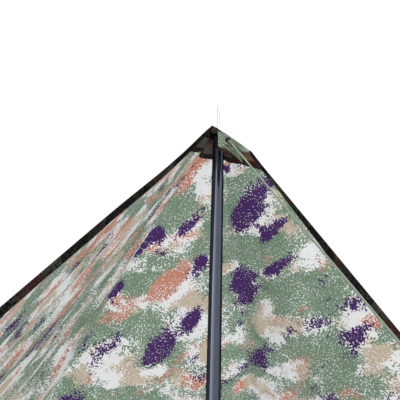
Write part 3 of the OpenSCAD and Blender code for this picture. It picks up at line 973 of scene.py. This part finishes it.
def add_eyelet():
    """A rolled metal ring, set in the tab, with a dark plate behind it: painted shade where the tab has no
    hole.
    """
    t, v = (np.array([x]) for x in EYELET_AT)
    middle = tab_point(t, v)[0] + (-0.001, -0.0022, -0.001)
    across = unit(tab_point(t + 0.05, v)[0] - tab_point(t, v)[0])
    up = unit(np.cross(across, TAB_FRONT))
    facing = np.cross(up, across)
    outs = [across * math.cos(a) + up * math.sin(a) for a in full_turn(RING_STEPS)]
    points = [middle + out * (EYELET_RADIUS + WIRE_RADIUS * math.cos(b)) + facing * WIRE_RISE * math.sin(b)
              for out in outs for b in full_turn(WIRE_STEPS)]
    faces = []
    for i in range(RING_STEPS):
        here, ahead = i * WIRE_STEPS, (i + 1) % RING_STEPS * WIRE_STEPS
        for k in range(WIRE_STEPS):
            m = (k + 1) % WIRE_STEPS
            faces.append([here + k, ahead + k, ahead + m, here + m])
    # A dark disc in the ring: painted shade in place of a hole through the tab
    plate = [[middle + facing * depth + out * EYELET_RADIUS for out in outs] for depth in HOLE_SHADE_PLATE_DEPTHS]
    points, faces = joined([(points, faces), loft(np.array(plate))])
    ring = new_piece("eyelet_ring", points, faces, [eyelet_metal])
    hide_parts("tab_eyelet")
    return sinks(ring)


def knot_path(middle, axis, size, count=90):
    """An overhand knot pulled up small: a trefoil with its middle line along the cord."""
    axis = unit(axis)
    side = unit(np.cross(axis, (0.2, 0.1, 1)))
    up = np.cross(axis, side)
    turns = np.linspace(0, 2 * math.pi, count)
    x = (np.sin(turns) + 2 * np.sin(2 * turns)) / 3
    y = (np.cos(turns) - 2 * np.cos(2 * turns)) / 3
    z = -np.sin(3 * turns) * 0.55
    return np.asarray(middle) + size * (x[:, None] * side + y[:, None] * up + z[:, None] * axis)


def add_knot(name, middle, size, cad_node, material, tail):
    """A knot in the line, with its loose end."""
    knot = tube(knot_path(middle, LINE_DOWN, size), LINE_DIAMETER * KNOT_RADIUS, 10)
    loose_end = tube(curve(tail, 24), LINE_DIAMETER * TAIL_RADIUS, 10)
    points, faces = joined([loft(knot), loft(loose_end)])
    knot = new_piece(name, points, faces, [material])
    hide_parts(cad_node)
    return sinks(knot)


LINE_DOWN = unit(np.subtract(LINE_ROUTE[1], LINE_ROUTE[0]))
# Radii as shares of the line's diameter: yarn pulled tight is thinner
KNOT_RADIUS, TAIL_RADIUS = 0.42, 0.36
TOP_TAIL = [(0.0125, -0.0365, 1.4375), (0.0200, -0.0450, 1.4180), (0.0300, -0.0560, 1.3930)]
END_TAIL = np.add(LINE_ROUTE[-1], [(0, 0, 0), (-0.004, 0.008, 0.012), (-0.002, 0.016, 0.014)])
hood = add_peak_hood()
crest = add_crest_fold()
tab = add_tab()
add_eyelet()
top_knot = add_knot("top_knot", LINE_ROUTE[0], 0.0034, "guyline_knot", knot_material, TOP_TAIL)
end_knot = add_knot("end_knot", LINE_ROUTE[-1], 0.0038, "guyline_end_knot", line_material, END_TAIL)


# ---- tensioner and webbing loops
def add_tensioner():
    """The slotted plate with its edges rounded over; it slides on the line and comes down with it."""
    plate = placed("line_tensioner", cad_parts["guyline_tensioner"].data.copy())
    plate.data.materials.clear()
    plate.data.materials.append(black_plastic)
    form = bmesh.new()
    form.from_mesh(plate.data)
    bmesh.ops.remove_doubles(form, verts=form.verts, dist=WELD)
    bmesh.ops.dissolve_limit(form, angle_limit=math.radians(2), verts=form.verts, edges=form.edges)
    sharp = [e for e in form.edges if len(e.link_faces) == 2 and e.calc_face_angle() > math.radians(50)]
    bmesh.ops.bevel(form, geom=sharp, offset=0.0005, segments=2, profile=0.5, affect="EDGES")
    form.to_mesh(plate.data)
    form.free()
    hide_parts("guyline_tensioner")
    return sinks(plate, "tensioner")


LOOP_REACH = 0.062
LOOP_WIDTH = 0.020
LOOP_THICK = 0.0018
LOOP_Z = 0.0021
HOLE_RADIUS = 0.005
WELD = 1e-6


def add_webbing_loop(cad_node, foot, away):
    """A webbing strap with a round end and a hole for the peg, a little wavy on the ground."""
    half = LOOP_WIDTH / 2
    bend = np.linspace(-math.pi / 2, math.pi / 2, 25)
    outline = np.concatenate([
        np.stack([np.linspace(0, LOOP_REACH, 22), np.full(22, -half)], -1)[:-1],
        np.stack([LOOP_REACH + half * np.cos(bend), half * np.sin(bend)], -1),
        np.stack([np.linspace(LOOP_REACH, 0, 22), np.full(22, half)], -1)[1:],
        np.stack([np.zeros(9), np.linspace(half, -half, 9)], -1)[1:]])
    turns = np.arctan2(outline[:, 1], outline[:, 0] - LOOP_REACH)
    hole = np.stack([LOOP_REACH + HOLE_RADIUS * np.cos(turns), HOLE_RADIUS * np.sin(turns)], -1)
    shares = np.array([0, 0.04, 0.10, 0.3, 0.55, 0.8, 0.93, 0.98, 1])[:, None, None]
    grid = hole + shares * (outline - hole)
    rim = np.abs(shares[..., 0] * 2 - 1) ** 12
    thin = LOOP_THICK / 2 * np.sqrt(1 - rim * 0.85) * np.ones(grid.shape[:2])
    seed = sum(map(ord, cad_node)) % 7
    z = LOOP_Z + 0.0006 * np.sin(grid[..., 0] * 120 + seed) + 0.0003 * np.sin(grid[..., 1] * 300)
    away = unit((*away, 0))
    side = np.cross((0, 0, 1), away)
    base = np.asarray(foot) + grid[..., :1] * away + grid[..., 1:] * side
    layers = [np.concatenate([base[..., :2], (z + sign * thin)[..., None]], -1) for sign in (1, -1)]
    points, faces = shell(*layers)
    strap = new_piece(cad_node.replace("loop", "webbing"), points, faces, [webbing_material], None, 60,
                      weld=WELD)
    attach(strap, "tent")
    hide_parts(cad_node)
    return strap


def loop_place(name):
    """Where a loop meets the hem, and the level way it points, from its own CAD box."""
    if name == "loop_back_middle":
        return np.array((0, back_high.y, 0)), (0, 1)
    wall = {"front": FEET[0], "side": (FEET[0] + FEET[1]) / 2, "back": FEET[1]}[name.split("_")[1]]
    foot = wall if name.endswith("left") else wall * MIRROR
    low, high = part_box(name)
    return foot, ((low.x + high.x) / 2 - foot[0], (low.y + high.y) / 2 - foot[1])


tensioner = add_tensioner()
for cad_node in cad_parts:
    if cad_node.startswith("loop_"):
        add_webbing_loop(cad_node, *loop_place(cad_node))

# ---- the guyline comes down with the tent
sinks(guyline)


# ---- light, floor and colour
TO_CAMERA = unit((CAMERA_PLACE[0], CAMERA_PLACE[1], 0))
CAMERA_RIGHT = np.cross((0, 0, 1), TO_CAMERA)
SEEN_WHITE = 1.05
ROOM_DARK, ROOM_BRIGHT = 0.10, 2.1
BRIGHT_WAY = (0.05, 0.80, 0.60)
# The soft box in front, in degrees: round from the camera's back, and up from level
BOX_LEFT, BOX_RIGHT = -60, 80
BOX_LOW, BOX_HIGH = -15, 34.4
BOX_EDGE = 6
# Its left end leans in with height
LEAN_FROM, LEAN_TO, LEAN = 18, 36, 26
# Its strength falls from its left part to the rest
STRONG_TO, WEAK_FROM, BOX_STRONG, BOX_WEAK = -50, 5, 3.4, 1.15
# Near its top a gap opens in the middle, so that the pole shows two stripes there
GAP_MIDDLE, GAP_HALF = 20, 35
GAP_STARTS, GAP_FULL = 31.2, 32.7
# How much of the room's light the flag takes off, and between which heights it fades
FLAG_DEPTH = 0.85
FLAG_FROM, FLAG_TO = 45, 60


def add_world():
    """White to look at. As a light: bright behind and above, with a soft box in front of a dark room."""
    world = bpy.data.worlds.new("studio")
    scene.world = world
    tree = emptied(world)
    way = node(tree, "TexCoord").outputs["Generated"]

    def towards(direction):
        inputs = {0: way, 1: tuple(direction)}
        return node(tree, "VectorMath", inputs, operation="DOT_PRODUCT").outputs["Value"]

    def degrees(value):
        return product(tree, value, 180 / math.pi)

    turn = degrees(maths(tree, "ARCTAN2", towards(CAMERA_RIGHT), towards(TO_CAMERA)))
    rise = degrees(maths(tree, "ARCSINE", towards((0, 0, 1))))
    gap = ramp(tree, rise, GAP_STARTS, GAP_FULL, 0, GAP_HALF)
    aside = maths(tree, "ABSOLUTE", less(tree, turn, GAP_MIDDLE))
    left_end = ramp(tree, rise, LEAN_FROM, LEAN_TO, BOX_LEFT, BOX_LEFT + LEAN)
    box = above(tree, less(tree, turn, left_end), 0, BOX_EDGE / 2)
    # A black flag beside the box, which only reflections see
    flag = product(tree, less(tree, 1.0, box), ramp(tree, rise, FLAG_FROM, FLAG_TO, FLAG_DEPTH, 0))
    flag = product(tree, flag, node(tree, "LightPath").outputs["Is Glossy Ray"])
    for factor in (ramp(tree, turn, BOX_RIGHT - BOX_EDGE, BOX_RIGHT + BOX_EDGE, 1, 0),
                   above(tree, less(tree, aside, gap), -3, 3),
                   above(tree, rise, BOX_LOW, 4),
                   ramp(tree, rise, BOX_HIGH - 0.8, BOX_HIGH + 0.4, 1, 0),
                   ramp(tree, turn, STRONG_TO, WEAK_FROM, BOX_STRONG, BOX_WEAK)):
        box = product(tree, box, factor)
    room = ramp(tree, towards(BRIGHT_WAY), -0.35, 0.6, ROOM_DARK, ROOM_BRIGHT)
    room = product(tree, room, less(tree, 1.0, flag))
    light, seen = [node(tree, "Background", {"Color": (1, 1, 1, 1), "Strength": strength}).outputs[0]
                   for strength in (total(tree, room, box), SEEN_WHITE)]
    from_camera = node(tree, "LightPath").outputs["Is Camera Ray"]
    chosen = node(tree, "MixShader", {0: from_camera, 1: light, 2: seen}).outputs[0]
    output = node(tree, "OutputWorld")
    tree.links.new(chosen, output.inputs["Surface"])


SUN_POWER = 1.2
SUN_WIDTH = 25
SUN_WAY = (-0.45, -0.70, -0.85)


def add_sun():
    data = bpy.data.lights.new("back_light", "SUN")
    data.energy = SUN_POWER
    data.angle = math.radians(SUN_WIDTH)
    sun = placed("back_light", data)
    sun.rotation_euler = Vector(SUN_WAY).to_track_quat("-Z", "Y").to_euler()


FLOOR_HALF = 12


def add_floor():
    material, tree = new_material("floor")
    shade = mixed(tree, noise(tree, object_place(tree), 3, 2), (0.60, 0.60, 0.59), (0.66, 0.66, 0.65))
    finished(material, principled(tree, {"Base Color": shade, "Roughness": 0.9}))
    mesh = bpy.data.meshes.new("floor")
    corners = [(x * FLOOR_HALF, y * FLOOR_HALF, 0) for x, y in ((-1, -1), (1, -1), (1, 1), (-1, 1))]
    mesh.from_pydata(corners, [], [(0, 1, 2, 3)])
    mesh.materials.append(material)
    floor = placed("floor", mesh)


add_world()
add_sun()
add_floor()
scene.view_settings.view_transform = "Standard"
